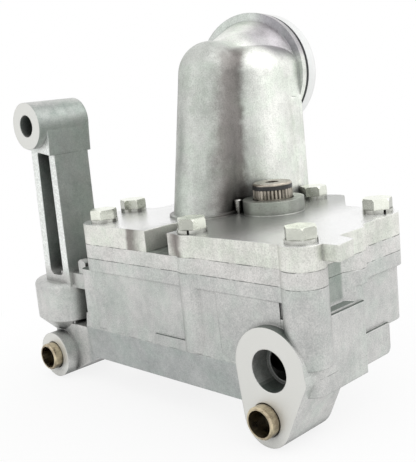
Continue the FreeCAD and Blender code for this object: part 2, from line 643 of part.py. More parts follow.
def make_cover():
    """Top cover with the shaft boss and the cast suction elbow."""
    below = Z_PLATE_TOP - LAP
    above = Z_COVER_TOP + LAP
    sheet = prism(stack_outline(0.0), Z_PLATE_TOP, Z_COVER_TOP)
    lug = prism(COVER_LUG, Z_COVER_TOP - COVER_LUG_HEIGHT, Z_COVER_TOP)
    boss = rod(DRIVE_AXIS, SHAFT_BOSS_RADIUS, Z_COVER_TOP - LAP, Z_SHAFT_BOSS_TOP)
    lip = rod(ELBOW_FOOT, NOSE_FOOT_RADIUS + NOSE_LIP, Z_COVER_TOP - LAP, Z_COVER_TOP + LIP_HEIGHT)
    base = fuse([sheet, lug, boss, lip] + columns(Z_PLATE_TOP, Z_COVER_TOP))
    cover = fuse([base, to_pump(make_elbow())])
    cuts = bolt_holes(below, above, BOLT_HOLE_RADIUS) + pin_holes(below, PIN_TOP_Z + PIN_END_GAP)
    cuts.append(prism(COVER_POCKET, below, above))
    bush_top = Z_SHAFT_BOSS_TOP - SHAFT_BOSS_LIP
    cuts.append(rod(DRIVE_AXIS, DRIVE_SHAFT_RADIUS + BUSH_WALL + SEAT_GAP, below, bush_top))
    cuts.append(rod(DRIVE_AXIS, DRIVE_SHAFT_RADIUS + SHAFT_CLEARANCE, Z_PLATE_TOP, Z_SHAFT_BOSS_TOP + LAP))
    cuts.append(to_pump(make_elbow_passage()))
    # Suction channel in the underside, round the shaft boss to the gears
    for a, b in zip(CHANNEL_RUN, CHANNEL_RUN[1:]):
        cuts.append(belt(a, CHANNEL_HALF, b, CHANNEL_HALF - 0.1, below, Z_COVER_TOP - CHANNEL_ROOF))
    cuts.append(rod(POST_AXIS, POST_RADIUS + SEAT_GAP, Z_COVER_TOP - POST_SEAT, Z_COVER_TOP + VALLEY_RADIUS))
    return cover.cut(fuse(cuts))


def make_post():
    """Small round post beside the shaft boss."""
    post = rod(POST_AXIS, POST_RADIUS, Z_COVER_TOP - POST_SEAT, Z_COVER_TOP + POST_HEIGHT)
    return post.makeChamfer(POST_CHAMFER, level_edges(post, Z_COVER_TOP + POST_HEIGHT))


def involute(base, radius):
    """Angle swept by the involute between its base and a radius."""
    angle = math.acos(min(1.0, base / radius))
    return math.tan(angle) - angle


def make_gear(axis, first_tooth, bore, key_angle):
    """Spur gear with involute teeth, a bore and a keyway."""
    base = PITCH_RADIUS * math.cos(PRESSURE_ANGLE)
    half_pitch = math.pi / (2 * TEETH) - TOOTH_THINNING / (2.0 * PITCH_RADIUS)
    half_base = half_pitch + involute(base, PITCH_RADIUS)
    z0 = CHAMBER_FLOOR + GEAR_FACE_GAP
    z1 = Z_BODY_TOP - GEAR_FACE_GAP

    def at(radius, angle):
        return FreeCAD.Vector(axis[0] + radius * math.cos(angle), axis[1] + radius * math.sin(angle), z0)

    radii = [base, (base + GEAR_TIP_RADIUS) / 2.0, GEAR_TIP_RADIUS]
    pitch = 2 * math.pi / TEETH
    edges = []
    for tooth in range(TEETH):
        mid = first_tooth + tooth * pitch
        rise = [at(r, mid - half_base + involute(base, r)) for r in radii]
        fall = [at(r, mid + half_base - involute(base, r)) for r in reversed(radii)]
        edges.append(Part.makeLine(at(GEAR_ROOT_RADIUS, mid - half_base), rise[0]))
        edges.append(Part.Arc(*rise).toShape())
        edges.append(Part.Arc(rise[-1], at(GEAR_TIP_RADIUS, mid), fall[0]).toShape())
        edges.append(Part.Arc(*fall).toShape())
        edges.append(Part.makeLine(fall[-1], at(GEAR_ROOT_RADIUS, mid + half_base)))
        root_end = mid + pitch - half_base
        edges.append(
            Part.Arc(
                at(GEAR_ROOT_RADIUS, mid + half_base),
                at(GEAR_ROOT_RADIUS, mid + pitch / 2),
                at(GEAR_ROOT_RADIUS, root_end),
            ).toShape()
        )
    blank = Part.Face(Part.Wire(edges)).extrude(FreeCAD.Vector(0, 0, z1 - z0))
    keyway = key_block(axis, bore, key_angle, SEAT_GAP, KEYWAY_RISE, z0 - LAP, z1 + LAP)
    return blank.cut(rod(axis, bore + SEAT_GAP, z0 - LAP, z1 + LAP)).cut(keyway)


def key_block(axis, shaft_radius, angle, gap, rise, z0, z1):
    """Bar along the shaft that fills the keyway, gap wider on each side."""
    half = KEY_WIDTH / 2.0 + gap
    bar = box(shaft_radius - KEY_SUNK - gap, shaft_radius + rise + gap, -half, half, z0, z1)
    bar.rotate(FreeCAD.Vector(0, 0, 0), FreeCAD.Vector(0, 0, 1), math.degrees(angle))
    bar.translate(FreeCAD.Vector(axis[0], axis[1], 0))
    return bar


def make_key(axis, radius, angle):
    """Parallel key between a shaft and its gear."""
    return key_block(axis, radius, angle, 0.0, KEY_RISE, KEY_Z0, KEY_Z0 + KEY_LENGTH)


def make_drive_shaft():
    """Drive shaft with a serrated end, a ring groove and a centre hole."""
    top = Z_DRIVE_END_TOP
    shaft = rod(DRIVE_AXIS, DRIVE_SHAFT_RADIUS, SHAFT_FOOT_Z, top)
    shaft = shaft.makeChamfer(EDGE_BREAK, level_edges(shaft, SHAFT_FOOT_Z) + level_edges(shaft, top))
    cuts = [keyseat(DRIVE_AXIS, DRIVE_SHAFT_RADIUS, DRIVE_FIRST_TOOTH)]
    cuts.append(rod(DRIVE_AXIS, CENTRE_HOLE_RADIUS, top - CENTRE_HOLE_DEPTH, top + LAP))
    groove = rod(DRIVE_AXIS, DRIVE_SHAFT_RADIUS + LAP, RING_Z0, RING_Z0 + RING_HEIGHT)
    cuts.append(groove.cut(rod(DRIVE_AXIS, RING_SEAT_RADIUS, RING_Z0, RING_Z0 + RING_HEIGHT)))
    pitch = 2 * math.pi / SPLINE_TEETH
    reach = DRIVE_SHAFT_RADIUS + SPLINE_OFFSET
    foot = Z_SHAFT_BOSS_TOP + SPLINE_FOOT_GAP
    for k in range(SPLINE_TEETH):
        notch = box(-SPLINE_DEPTH, SPLINE_DEPTH, -SPLINE_DEPTH, SPLINE_DEPTH, foot, RING_Z0)
        notch.rotate(FreeCAD.Vector(0, 0, 0), FreeCAD.Vector(0, 0, 1), 45.0)
        notch.translate(FreeCAD.Vector(reach, 0, 0))
        notch.rotate(FreeCAD.Vector(0, 0, 0), FreeCAD.Vector(0, 0, 1), math.degrees(k * pitch))
        notch.translate(FreeCAD.Vector(DRIVE_AXIS[0], DRIVE_AXIS[1], 0))
        cuts.append(notch)
    return shaft.cut(Part.makeCompound(cuts))


def keyseat(axis, radius, angle):
    """Seat of a parallel key in its shaft, open outwards."""
    return key_block(axis, radius, angle, SEAT_GAP, KEYWAY_RISE, KEY_Z0, KEY_Z0 + KEY_LENGTH)


def make_shaft_ring():
    """Ring in the groove near the drive end."""
    z0 = RING_Z0 + RING_PLAY
    z1 = RING_Z0 + RING_HEIGHT - RING_PLAY
    ring = rod(DRIVE_AXIS, DRIVE_SHAFT_RADIUS + RING_PLAY, z0, z1)
    return ring.cut(rod(DRIVE_AXIS, RING_SEAT_RADIUS + SEAT_GAP, z0 - LAP, z1 + LAP))


def make_idler_shaft():
    """Axle of the driven gear."""
    top = Z_PLATE_TOP - IDLER_END_GAP
    shaft = rod(IDLER_AXIS, IDLER_SHAFT_RADIUS, SHAFT_FOOT_Z, top)
    shaft = shaft.makeChamfer(EDGE_BREAK, level_edges(shaft, SHAFT_FOOT_Z) + level_edges(shaft, top))
    return shaft.cut(keyseat(IDLER_AXIS, IDLER_SHAFT_RADIUS, DRIVEN_FIRST_TOOTH))


def make_bush(axis, shaft_radius, z0, z1):
    """Plain bearing bush."""
    bore = rod(axis, shaft_radius + RUNNING_GAP, z0 - LAP, z1 + LAP)
    return rod(axis, shaft_radius + BUSH_WALL, z0, z1).cut(bore)


def make_bolts():
    """Cover bolts as one group of separate solids."""
    solids = []
    seat = Z_COVER_TOP + WASHER_THICKNESS
    corner = BOLT_HEAD_FLATS / math.sqrt(3.0)
    below, above = BOLT_HEAD_CROWN
    for (x, y), turn in zip(BOLTS, BOLT_HEAD_TURNS):
        points = []
        for k in range(6):
            angle = math.radians(turn + 60.0 * k)
            points.append((x + corner * math.cos(angle), y + corner * math.sin(angle), 0))
        head = prism(points, seat, seat + BOLT_HEAD_HEIGHT)
        crown = Part.makeCone(corner + below, corner - above, BOLT_HEAD_HEIGHT, FreeCAD.Vector(x, y, seat))
        shank = rod((x, y), BOLT_RADIUS, BOLT_TIP_Z, seat)
        solids.append(head.common(crown).fuse(shank).removeSplitter())
    return Part.makeCompound(solids)


def make_washers():
    """Split spring washers as one group of separate solids."""
    solids = []
    half = WASHER_SPLIT / 2.0
    z0 = Z_COVER_TOP
    z1 = Z_COVER_TOP + WASHER_THICKNESS
    for (x, y), turn in zip(BOLTS, WASHER_TURNS):
        ring = rod((x, y), WASHER_RADIUS, z0, z1)
        ring = ring.cut(rod((x, y), BOLT_RADIUS + WASHER_BORE_GAP, z0 - LAP, z1 + LAP))
        gap = box(0.0, WASHER_RADIUS + LAP, -half, half, z0 - LAP, z1 + LAP)
        gap.rotate(FreeCAD.Vector(0, 0, 0), FreeCAD.Vector(0, 0, 1), turn)
        gap.translate(FreeCAD.Vector(x, y, 0))
        solids.append(ring.cut(gap))
    return Part.makeCompound(solids)


def make_dowel(xz):
    """Hollow dowel sleeve; its shoulder rests on the mounting face."""
    sleeve = rod_y(xz, DOWEL_RADIUS, -DOWEL_PROUD, 0.0)
    end_edges = [e for e in sleeve.Edges if e.BoundBox.YMax < -DOWEL_PROUD + 0.01]
    sleeve = sleeve.makeChamfer(EDGE_BREAK, end_edges)
    seat = rod_y(xz, DOWEL_RADIUS - DOWEL_SEAT_STEP, -EDGE_BREAK, DOWEL_SEAT_DEPTH)
    bore = rod_y(xz, DOWEL_RADIUS - DOWEL_WALL, -DOWEL_PROUD - LAP, DOWEL_SEAT_DEPTH + LAP)
    return fuse([sleeve, seat]).cut(bore)


def make_pins():
    """Locating pins through body, plate and cover."""
    return Part.makeCompound([rod(xy, PIN_RADIUS, PIN_FOOT_Z, PIN_TOP_Z) for xy in PINS])


def make_neck_seal():
    """Square-cut seal ring in the groove between collar and spigot."""
    ahead = FreeCAD.Vector(0, 1, 0)
    start = FreeCAD.Vector(0, NECK_FACE + COLLAR_WIDTH + SEAL_PLAY, NECK_Z)
    width = SEAL_GROOVE_WIDTH - 2.0 * SEAL_PLAY
    ring = Part.makeCylinder(SEAL_GROOVE_RADIUS + SEAL_HEIGHT, width, start, ahead)
    bore_start = start - ahead * LAP
    bore = Part.makeCylinder(SEAL_GROOVE_RADIUS + SEAT_GAP, width + 2.0 * LAP, bore_start, ahead)
    return to_pump(ring.cut(bore))


def main():
    """Builds every piece and writes one file each."""
    os.makedirs("parts", exist_ok=True)
    bush_top = Z_SHAFT_BOSS_TOP - SHAFT_BOSS_LIP
    pieces = {
        "pump_body": make_body(),
        "separator_plate": make_plate(),
        "top_cover": make_cover(),
        "cover_bolts": make_bolts(),
        "spring_washers": make_washers(),
        "left_dowel_sleeve": make_dowel(LEFT_DOWEL),
        "right_dowel_sleeve": make_dowel(RIGHT_DOWEL),
        "locating_pins": make_pins(),
        "cover_post": make_post(),
        "neck_seal_ring": make_neck_seal(),
        "upper_drive_bush": make_bush(DRIVE_AXIS, DRIVE_SHAFT_RADIUS, Z_PLATE_TOP, bush_top),
        "lower_drive_bush": make_bush(DRIVE_AXIS, DRIVE_SHAFT_RADIUS, BEARING_FLOOR_Z, CHAMBER_FLOOR),
        "upper_idler_bush": make_bush(IDLER_AXIS, IDLER_SHAFT_RADIUS, Z_BODY_TOP, Z_PLATE_TOP),
        "lower_idler_bush": make_bush(IDLER_AXIS, IDLER_SHAFT_RADIUS, BEARING_FLOOR_Z, CHAMBER_FLOOR),
        "drive_shaft": make_drive_shaft(),
        "drive_shaft_ring": make_shaft_ring(),
        "drive_gear": make_gear(DRIVE_AXIS, DRIVE_FIRST_TOOTH, DRIVE_SHAFT_RADIUS, DRIVE_FIRST_TOOTH),
        "drive_gear_key": make_key(DRIVE_AXIS, DRIVE_SHAFT_RADIUS, DRIVE_FIRST_TOOTH),
        "idler_shaft": make_idler_shaft(),
        "driven_gear": make_gear(IDLER_AXIS, DRIVEN_FIRST_TOOTH, IDLER_SHAFT_RADIUS, DRIVEN_FIRST_TOOTH),
        "driven_gear_key": make_key(IDLER_AXIS, IDLER_SHAFT_RADIUS, DRIVEN_FIRST_TOOTH),
    }
    for name, shape in pieces.items():
        print(name, "valid" if shape.isValid() else "INVALID", len(shape.Solids), round(shape.Volume, 1))
        shape.exportStep(os.path.join("parts", name + ".step"))


main()
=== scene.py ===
"""Engine oil pump: camera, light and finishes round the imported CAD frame.

Lengths in this file are millimetres unless a name says otherwise; the scene itself is in metres.
X runs along the block, Y away from the mounting face, Z up along the shafts.
"""

import logging
import math
from dataclasses import dataclass
from enum import Enum
from typing import Optional, Sequence, Union

import bpy
from mathutils import Matrix, Vector


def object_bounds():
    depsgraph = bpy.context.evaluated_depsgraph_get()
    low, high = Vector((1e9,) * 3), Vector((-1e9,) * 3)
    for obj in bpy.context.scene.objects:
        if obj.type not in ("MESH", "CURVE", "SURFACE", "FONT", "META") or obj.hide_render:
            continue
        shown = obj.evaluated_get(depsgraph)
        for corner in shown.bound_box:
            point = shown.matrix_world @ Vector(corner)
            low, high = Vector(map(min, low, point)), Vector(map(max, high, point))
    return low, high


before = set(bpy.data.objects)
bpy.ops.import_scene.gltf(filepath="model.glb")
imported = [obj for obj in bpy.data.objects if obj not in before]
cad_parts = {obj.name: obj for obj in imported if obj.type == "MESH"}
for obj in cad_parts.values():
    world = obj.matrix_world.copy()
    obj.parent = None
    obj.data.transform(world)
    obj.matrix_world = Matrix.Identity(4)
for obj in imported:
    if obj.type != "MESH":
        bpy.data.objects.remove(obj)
cad_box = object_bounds()

log = logging.getLogger("oil_pump")
MM = 0.001
Socket = bpy.types.NodeSocket
Value = Union[float, Socket]
Colour = tuple[float, float, float]
Paint = Union[Colour, Socket]
Reading = Union[float, tuple, Socket]

# Levels and faces of the pump that the finishes follow
PLATE_LEVELS = (29.5, 35.5)
PARTING_LEVEL = -2.0
COVER_TOP = 44.0
MOUNTING_FACE = 0.0
ARM_RIGHT = -117.0
ARM_FOOT = 18.0
SHEEN_MIDDLE = -38.0
BOSS_AXIS = (-37.0, 52.0)
BOSS_REACH = 16.0
BOSS_TOP = 49.5
RECESS_FLOOR = 14.0
RECESS_Y = (17.6, 26.0)
RECESS_Z = (20.6, 35.2)
LOW_BAND_END = (-7.0, -10.0)
FRONT_FALL = (26.0, -4.0)

# The elbow's own frame on the cover
ELBOW_FOOT = (-63.6, 38.5)
ELBOW_TURN = 11.0
VALLEY_SIDE = 12.8
COLLAR_FRONT = 46.5
SPIGOT_START = 52.0
NOSE_BACK = (22.0, 10.0)
VALLEY_BACK = (24.0, 14.0)
VALLEY_TOP = (134.0, 118.0)
SHOULDER_SIDE = (2.0, 12.0)
SHOULDER_FOOT = (103.0, 109.0)
SHOULDER_BACK = (24.0, 34.0)

# Painted shade and painted dark reflection: what the cast skin is multiplied by where it is painted darker
ARM_FLANK_SHADE = (0.6, 0.65, 0.63)
COVER_BELOW_TOP_SHADE = (0.88, 0.87, 0.86)
NOSE_SHADE = (0.64, 0.65, 0.65)
VALLEY_SHADE = (0.36, 0.33, 0.33)
SHOULDER_SHADE = (0.55, 0.52, 0.57)
COLLAR_SHADE = (0.42, 0.45, 0.48)
BOSS_SHADE = (0.67, 0.67, 0.65)
SHELF_SHADE = (0.36, 0.4, 0.38)
RECESS_SHADE = (0.58, 0.63, 0.6)
LOW_BAND_SHADE = (0.86, 0.88, 0.89)
FRONT_SHADE = (0.84, 0.85, 0.85)

# Colours of small marks, of cut metal, of the painted glint and of the painted sheen
FLECK = (0.88, 0.9, 0.88)
PIT = (0.2, 0.21, 0.2)
SEAM_DARK = (0.1, 0.11, 0.1)
# painted glint on the arm's front edges
PAINTED_GLINT = (0.95, 0.98, 0.95)
# painted sheen of the milled cover face, from grey to near white
PAINTED_SHEEN_GREY = (0.38, 0.39, 0.37)
PAINTED_SHEEN_WHITE = (0.97, 0.97, 0.97)
MILLED_GREY = (0.74, 0.74, 0.71)
SPIGOT_DULL = (0.74, 0.75, 0.74)
SPIGOT_BRIGHT = (0.9, 0.91, 0.9)


class Surface(Enum):
    """Which casting a skin belongs to."""

    BODY = "body"
    PLATE = "plate"
    COVER = "cover"


class Board:
    """Places and joins nodes in one node tree."""

    def __init__(self, tree: bpy.types.NodeTree) -> None:
        """Keeps the tree.

        Args:
            tree: The node tree to build in.
        """
        self.tree = tree

    def add(self, kind: str, values: Optional[dict] = None, **properties) -> bpy.types.Node:
        """Adds a node, sets its properties and fills its inputs.

        Args:
            kind: Node type name without the ShaderNode prefix.
            values: Input name or index to a number, a tuple or a socket.
            properties: Attributes of the node.

        Returns:
            The new node.
        """
        node = self.tree.nodes.new("ShaderNode" + kind)
        for key, value in properties.items():
            setattr(node, key, value)
        for key, value in (values or {}).items():
            self.feed(node.inputs[key], value)
        return node

    def feed(self, socket: Socket, value: Reading) -> None:
        """Links a socket into another, or sets its plain value.

        Args:
            socket: The input to fill.
            value: A number, a tuple or an output socket.
        """
        if isinstance(value, bpy.types.NodeSocket):
            self.tree.links.new(value, socket)
        else:
            socket.default_value = value

    def maths(self, operation: str, first: Value, second: Value = 0.0, clamp: bool = False) -> Socket:
        """One Math node.

        Args:
            operation: Blender's name of the operation.
            first: First operand.
            second: Second operand.
            clamp: Keeps the result between 0 and 1.

        Returns:
            The result socket.
        """
        node = self.add("Math", {0: first, 1: second}, operation=operation, use_clamp=clamp)
        return node.outputs[0]

    def spread(self, value: Value, low: float, high: float, start: float = 0.0, end: float = 1.0) -> Socket:
        """Maps a value from low..high to start..end with smooth ends.

        Args:
            value: What is mapped.
            low: Where the ramp starts; it may be above high.
            high: Where the ramp ends.
            start: Result at low.
            end: Result at high.

        Returns:
            The result socket.
        """
        node = self.add("MapRange", {"Value": value, "From Min": low, "From Max": high,
                                     "To Min": start, "To Max": end})
        node.interpolation_type = "SMOOTHSTEP"
        return node.outputs["Result"]

    def blend(self, factor: Value, first: Paint, second: Paint, mode: str = "MIX") -> Socket:
        """Mixes two colours.

        Args:
            factor: 0 gives first, 1 gives second.
            first: Colour or socket.
            second: Colour or socket.
            mode: Blend mode.

        Returns:
            The mixed colour.
        """
        node = self.tree.nodes.new("ShaderNodeMix")
        node.data_type = "RGBA"
        node.blend_type = mode
        self.feed(node.inputs[0], factor)
        self.feed(node.inputs[6], opaque(first))
        self.feed(node.inputs[7], opaque(second))
        return node.outputs[2]

    def facing(self) -> Socket:
        """Normal of the facet in the piece's own frame.

        Returns:
            The normal, which turns with the piece.
        """
        facet = self.add("NewGeometry").outputs["True Normal"]
        turned = self.add("VectorTransform", {"Vector": facet}, vector_type="NORMAL", convert_from="WORLD",
                          convert_to="OBJECT")
        return turned.outputs[0]

    def noise(self, vector: Socket, scale: float, detail: float = 4.0, roughness: float = 0.5) -> Socket:
        """Value noise.

        Args:
            vector: Position in millimetres.
            scale: Features per millimetre.
            detail: Octaves.
            roughness: How much the finer octaves count.

        Returns:
            The noise between 0 and 1.
        """
        node = self.add("TexNoise", {"Vector": vector, "Scale": scale, "Detail": detail,
                                     "Roughness": roughness})
        return node.outputs["Fac"]


def opaque(colour: Paint) -> Union[tuple[float, float, float, float], Socket]:
    """Adds an alpha of one to a plain colour and passes a socket on.

    Args:
        colour: Three numbers or a socket.

    Returns:
        Four numbers, or the same socket.
    """
    if isinstance(colour, bpy.types.NodeSocket):
        return colour
    return (*colour, 1.0)


def new_group(name: str, inputs: Sequence[tuple], outputs: Sequence[tuple]) -> tuple[Board, dict, dict]:
    """Starts a shader node group.

    Args:
        name: Name of the group.
        inputs: (name, socket type, default) for each input.
        outputs: (name, socket type) for each output.

    Returns:
        The board, the input sockets by name and the output node's inputs by name.
    """
    tree = bpy.data.node_groups.new(name, "ShaderNodeTree")
    for label, kind, default in inputs:
        socket = tree.interface.new_socket(name=label, in_out="INPUT", socket_type="NodeSocket" + kind)
        if default is not None:
            socket.default_value = default
    for label, kind in outputs:
        tree.interface.new_socket(name=label, in_out="OUTPUT", socket_type="NodeSocket" + kind)
    entry = tree.nodes.new("NodeGroupInput")
    leave = tree.nodes.new("NodeGroupOutput")
    sources = {label: entry.outputs[label] for label, _, _ in inputs}
    targets = {label: leave.inputs[label] for label, _ in outputs}
    return Board(tree), sources, targets


def cast_grain_group() -> bpy.types.NodeTree:
    """Mottled grain of a die-cast skin.

    Shade is a coarse cloud plus fine pits, centred on one half; Height is the same pits for a bump.

    Returns:
        The group.
    """
    board, source, target = new_group(
        "cast grain",
        [("Position", "Vector", None), ("Cloud", "Float", 1.0), ("Pits", "Float", 1.0)],
        [("Shade", "Float"), ("Height", "Float")],
    )
    cloud = board.noise(source["Position"], 0.07, 5.0, 0.55)
    patch = board.noise(source["Position"], 0.35, 4.0, 0.6)
    pits = board.noise(source["Position"], 1.9, 3.0, 0.65)
    cloud = board.maths("MULTIPLY", board.maths("SUBTRACT", cloud, 0.5), source["Cloud"])
    patch = board.maths("MULTIPLY", board.maths("SUBTRACT", patch, 0.5), source["Cloud"])
    fine = board.maths("MULTIPLY", board.maths("SUBTRACT", pits, 0.5), source["Pits"])
    total = board.maths("ADD", board.maths("ADD", cloud, board.maths("MULTIPLY", patch, 0.6)), fine)
    board.feed(target["Shade"], board.maths("ADD", total, 0.5))
    board.feed(target["Height"], board.maths("ADD", board.maths("MULTIPLY", patch, 0.5), pits))
    return board.tree


def seam_group() -> bpy.types.NodeTree:
    """Thin wavering line on one level.

    Mask is one where the height lies within Half width of Level, broken up by a slow noise.

    Returns:
        The group.
    """
    board, source, target = new_group(
        "seam line",
        [("Position", "Vector", None), ("Level", "Float", 0.0), ("Half width", "Float", 0.12)],
        [("Mask", "Float")],
    )
    height = board.add("SeparateXYZ", {0: source["Position"]}).outputs["Z"]
    waver = board.maths("SUBTRACT", board.noise(source["Position"], 0.25, 2.0), 0.5)
    away = board.maths("ABSOLUTE", board.maths("SUBTRACT", height, source["Level"]))
    width = board.maths("ADD", source["Half width"], board.maths("MULTIPLY", waver, source["Half width"]))
    node = board.add("MapRange", {"Value": away, "From Min": width, "From Max": board.maths("MULTIPLY", width, 0.4),
                                  "To Min": 0.0, "To Max": 1.0})
    board.feed(target["Mask"], node.outputs["Result"])
    return board.tree


def level_face_group() -> bpy.types.NodeTree:
    """Machined face: a flat facet that lies on one coordinate level.

    Mask is one where Coordinate is within a hair of Level and Facing, the normal along it, is near one.

    Returns:
        The group.
    """
    board, source, target = new_group(
        "machined face",
        [("Coordinate", "Float", 0.0), ("Level", "Float", 0.0), ("Facing", "Float", 0.0)],
        [("Mask", "Float")],
    )
    away = board.maths("ABSOLUTE", board.maths("SUBTRACT", source["Coordinate"], source["Level"]))
    near = board.maths("LESS_THAN", away, 0.08)
    square = board.maths("GREATER_THAN", source["Facing"], 0.97)
    board.feed(target["Mask"], board.maths("MULTIPLY", near, square))
    return board.tree


@dataclass(frozen=True)
class Groups:
    """Node groups shared by the finishes."""

    grain: bpy.types.NodeTree
    seam: bpy.types.NodeTree
    face: bpy.types.NodeTree


def start_material(name: str) -> tuple[bpy.types.Material, Board, bpy.types.Node, Socket]:
    """Makes a material with one Principled shader.

    Args:
        name: Name of the material.

    Returns:
        The material, its board, the shader and the position in millimetres.
    """
    material = bpy.data.materials.new(name)
    material.use_nodes = True
    material.node_tree.nodes.clear()
    board = Board(material.node_tree)
    shader = board.add("BsdfPrincipled")
    board.add("OutputMaterial", {"Surface": shader.outputs["BSDF"]})
    place = board.add("TexCoord").outputs["Object"]
    scaled = board.add("VectorMath", {0: place, "Scale": 1.0 / MM}, operation="SCALE")
    return material, board, shader, scaled.outputs[0]


def soft_edges(board: Board, radius: float) -> Socket:
    """Normal that rounds the edges.

    Args:
        board: Board of the material.
        radius: Radius in millimetres.

    Returns:
        The normal.
    """
    return board.add("Bevel", {"Radius": radius * MM}, samples=6).outputs["Normal"]


@dataclass(frozen=True)
class CastSkin:
    """Die-cast aluminium with grain, flow streaks, split lines and machined faces, with painted shade, glints and
    sheen in its colour.

    Grain is how strongly the skin is mottled, streak how strongly it is drawn upright, shadow how dark
    the painted shade in the deepest corners goes and reach how far, in millimetres, a wall is felt.
    """

    name: str
    surface: Surface
    pale: Colour
    dark: Colour
    tint: Colour
    roughness: float
    edge: float
    grain: float = 1.0
    streak: float = 0.3
    shadow: float = 0.05
    reach: float = 15.0

    def build(self, groups: Groups) -> bpy.types.Material:
        """Builds the material.

        Args:
            groups: Shared node groups.

        Returns:
            The material.
        """
        material, board, shader, place = start_material(self.name)
        grain = board.add("Group", {"Cloud": 0.8 * self.grain, "Pits": 1.2 * self.grain}, node_tree=groups.grain)
        board.feed(grain.inputs["Position"], place)
        upright = board.add("Mapping", {"Vector": place, "Scale": (1.0, 1.0, 0.07)}).outputs[0]
        streaks = board.maths("SUBTRACT", board.noise(upright, 0.45, 4.0, 0.65), 0.5)
        shade = board.maths("ADD", grain.outputs["Shade"], board.maths("MULTIPLY", streaks, 1.6 * self.streak))
        colour = board.blend(board.spread(shade, 0.0, 1.0), self.dark, self.pale)
        tint_mask = board.spread(board.noise(place, 0.09, 3.0, 0.6), 0.42, 0.66)
        colour = board.blend(board.maths("MULTIPLY", tint_mask, 0.5), colour, self.tint, "MULTIPLY")
        fleck = board.spread(board.noise(place, 2.2, 2.0, 0.7), 0.63, 0.72)
        colour = board.blend(board.maths("MULTIPLY", fleck, 0.35 * self.grain), colour, FLECK)
        pit = board.spread(board.noise(place, 1.7, 3.0, 0.75), 0.38, 0.3)
        colour = board.blend(board.maths("MULTIPLY", pit, 0.4 * self.grain), colour, PIT)
        if self.surface is Surface.BODY:
            colour = self.arm(board, place, colour)
        if self.surface is Surface.COVER:
            colour = self.elbow(board, place, colour)
        else:
            colour = self.ledges(board, place, colour)
        colour = self.seams(board, groups, place, colour)
        colour, roughness = self.machined(board, groups, place, colour)
        colour = self.paint_crevice_shade(board, colour)
        board.feed(shader.inputs["Base Color"], colour)
        board.feed(shader.inputs["Roughness"], roughness)
        shader.inputs["Metallic"].default_value = 0.75
        bump = board.add("Bump", {"Height": grain.outputs["Height"], "Strength": 0.5 * self.grain,
                                  "Distance": 0.14 * MM, "Normal": soft_edges(board, self.edge)})
        board.feed(shader.inputs["Normal"], bump.outputs["Normal"])
        return material

    def arm(self, board: Board, place: Socket, colour: Socket) -> Socket:
        """Paints shade onto the rough flanks of the arm and painted glints onto its front edges.

        Args:
            board: Board of the material.
            place: Position in millimetres.
            colour: Colour so far.

        Returns:
            The colour.
        """
        along = board.add("SeparateXYZ", {0: place})
        side = board.add("SeparateXYZ", {0: board.facing()}).outputs["X"]
        # painted shade on the arm's flanks that face along X, broken into patches
        flank = board.spread(side, 0.35, 0.75)
        on_arm = board.maths("MULTIPLY", board.spread(along.outputs["X"], ARM_RIGHT, ARM_RIGHT - 2.0),
                             board.spread(along.outputs["Z"], ARM_FOOT, ARM_FOOT + 6.0))
        patchy = board.spread(board.noise(place, 0.3, 5.0, 0.7), 0.3, 0.7, 0.75, 1.0)
        mask = board.maths("MULTIPLY", board.maths("MULTIPLY", flank, on_arm), patchy)
        colour = board.blend(mask, colour, ARM_FLANK_SHADE, "MULTIPLY")
        # painted glints on the forward faces of the arm
        ahead = board.add("SeparateXYZ", {0: board.facing()}).outputs["Y"]
        painted_glint = board.spread(board.noise(place, 0.9, 4.0, 0.8), 0.45, 0.6, 0.5, 1.0)
        front = board.maths("MULTIPLY", board.spread(ahead, -0.6, -0.9), on_arm)
        return board.blend(board.maths("MULTIPLY", front, painted_glint), colour, PAINTED_GLINT)

    def elbow(self, board: Board, place: Socket, colour: Socket) -> Socket:
        """Paints shade on the cover below its top face, on the elbow's nose, in the upright valleys beside it and
        on the collar face, with a painted dark reflection on the shoulder; then the turned spigot.

        A valley stands at a set distance left and right of the nose in the elbow's own frame.

        Args:
            board: Board of the material.
            place: Position in millimetres.
            colour: Colour so far.

        Returns:
            The colour.
        """
        local = board.add("Mapping", {"Vector": place, "Location": (*ELBOW_FOOT, 0.0),
                                      "Rotation": (0.0, 0.0, math.radians(ELBOW_TURN))}, vector_type="TEXTURE")
        along = board.add("SeparateXYZ", {0: local.outputs[0]})
        uneven = board.maths("MULTIPLY", board.maths("SUBTRACT", board.noise(place, 0.12, 4.0, 0.6), 0.5), 6.0)
        aside = board.maths("ADD", board.maths("ABSOLUTE", along.outputs["X"]), uneven)
        # painted shade on the cover below its top face; the elbow above it keeps its colour
        above = board.spread(along.outputs["Z"], COVER_TOP, COVER_TOP + 0.4)
        colour = board.blend(above, board.blend(1.0, colour, COVER_BELOW_TOP_SHADE, "MULTIPLY"), colour)
        # painted shade on the nose of the elbow
        nose = board.maths("MULTIPLY", board.spread(along.outputs["Y"], *NOSE_BACK), above)
        colour = board.blend(nose, colour, NOSE_SHADE, "MULTIPLY")
        # painted shade in the upright valleys left and right of the nose, with a wavering edge
        mask = board.maths("MULTIPLY", board.spread(aside, VALLEY_SIDE - 6.5, VALLEY_SIDE),
                           board.spread(aside, VALLEY_SIDE + 4.5, VALLEY_SIDE + 1.5))
        mask = board.maths("MULTIPLY", mask, board.spread(along.outputs["Y"], *VALLEY_BACK))
        mask = board.maths("MULTIPLY", mask, board.spread(along.outputs["Z"], *VALLEY_TOP))
        colour = board.blend(mask, colour, VALLEY_SHADE, "MULTIPLY")
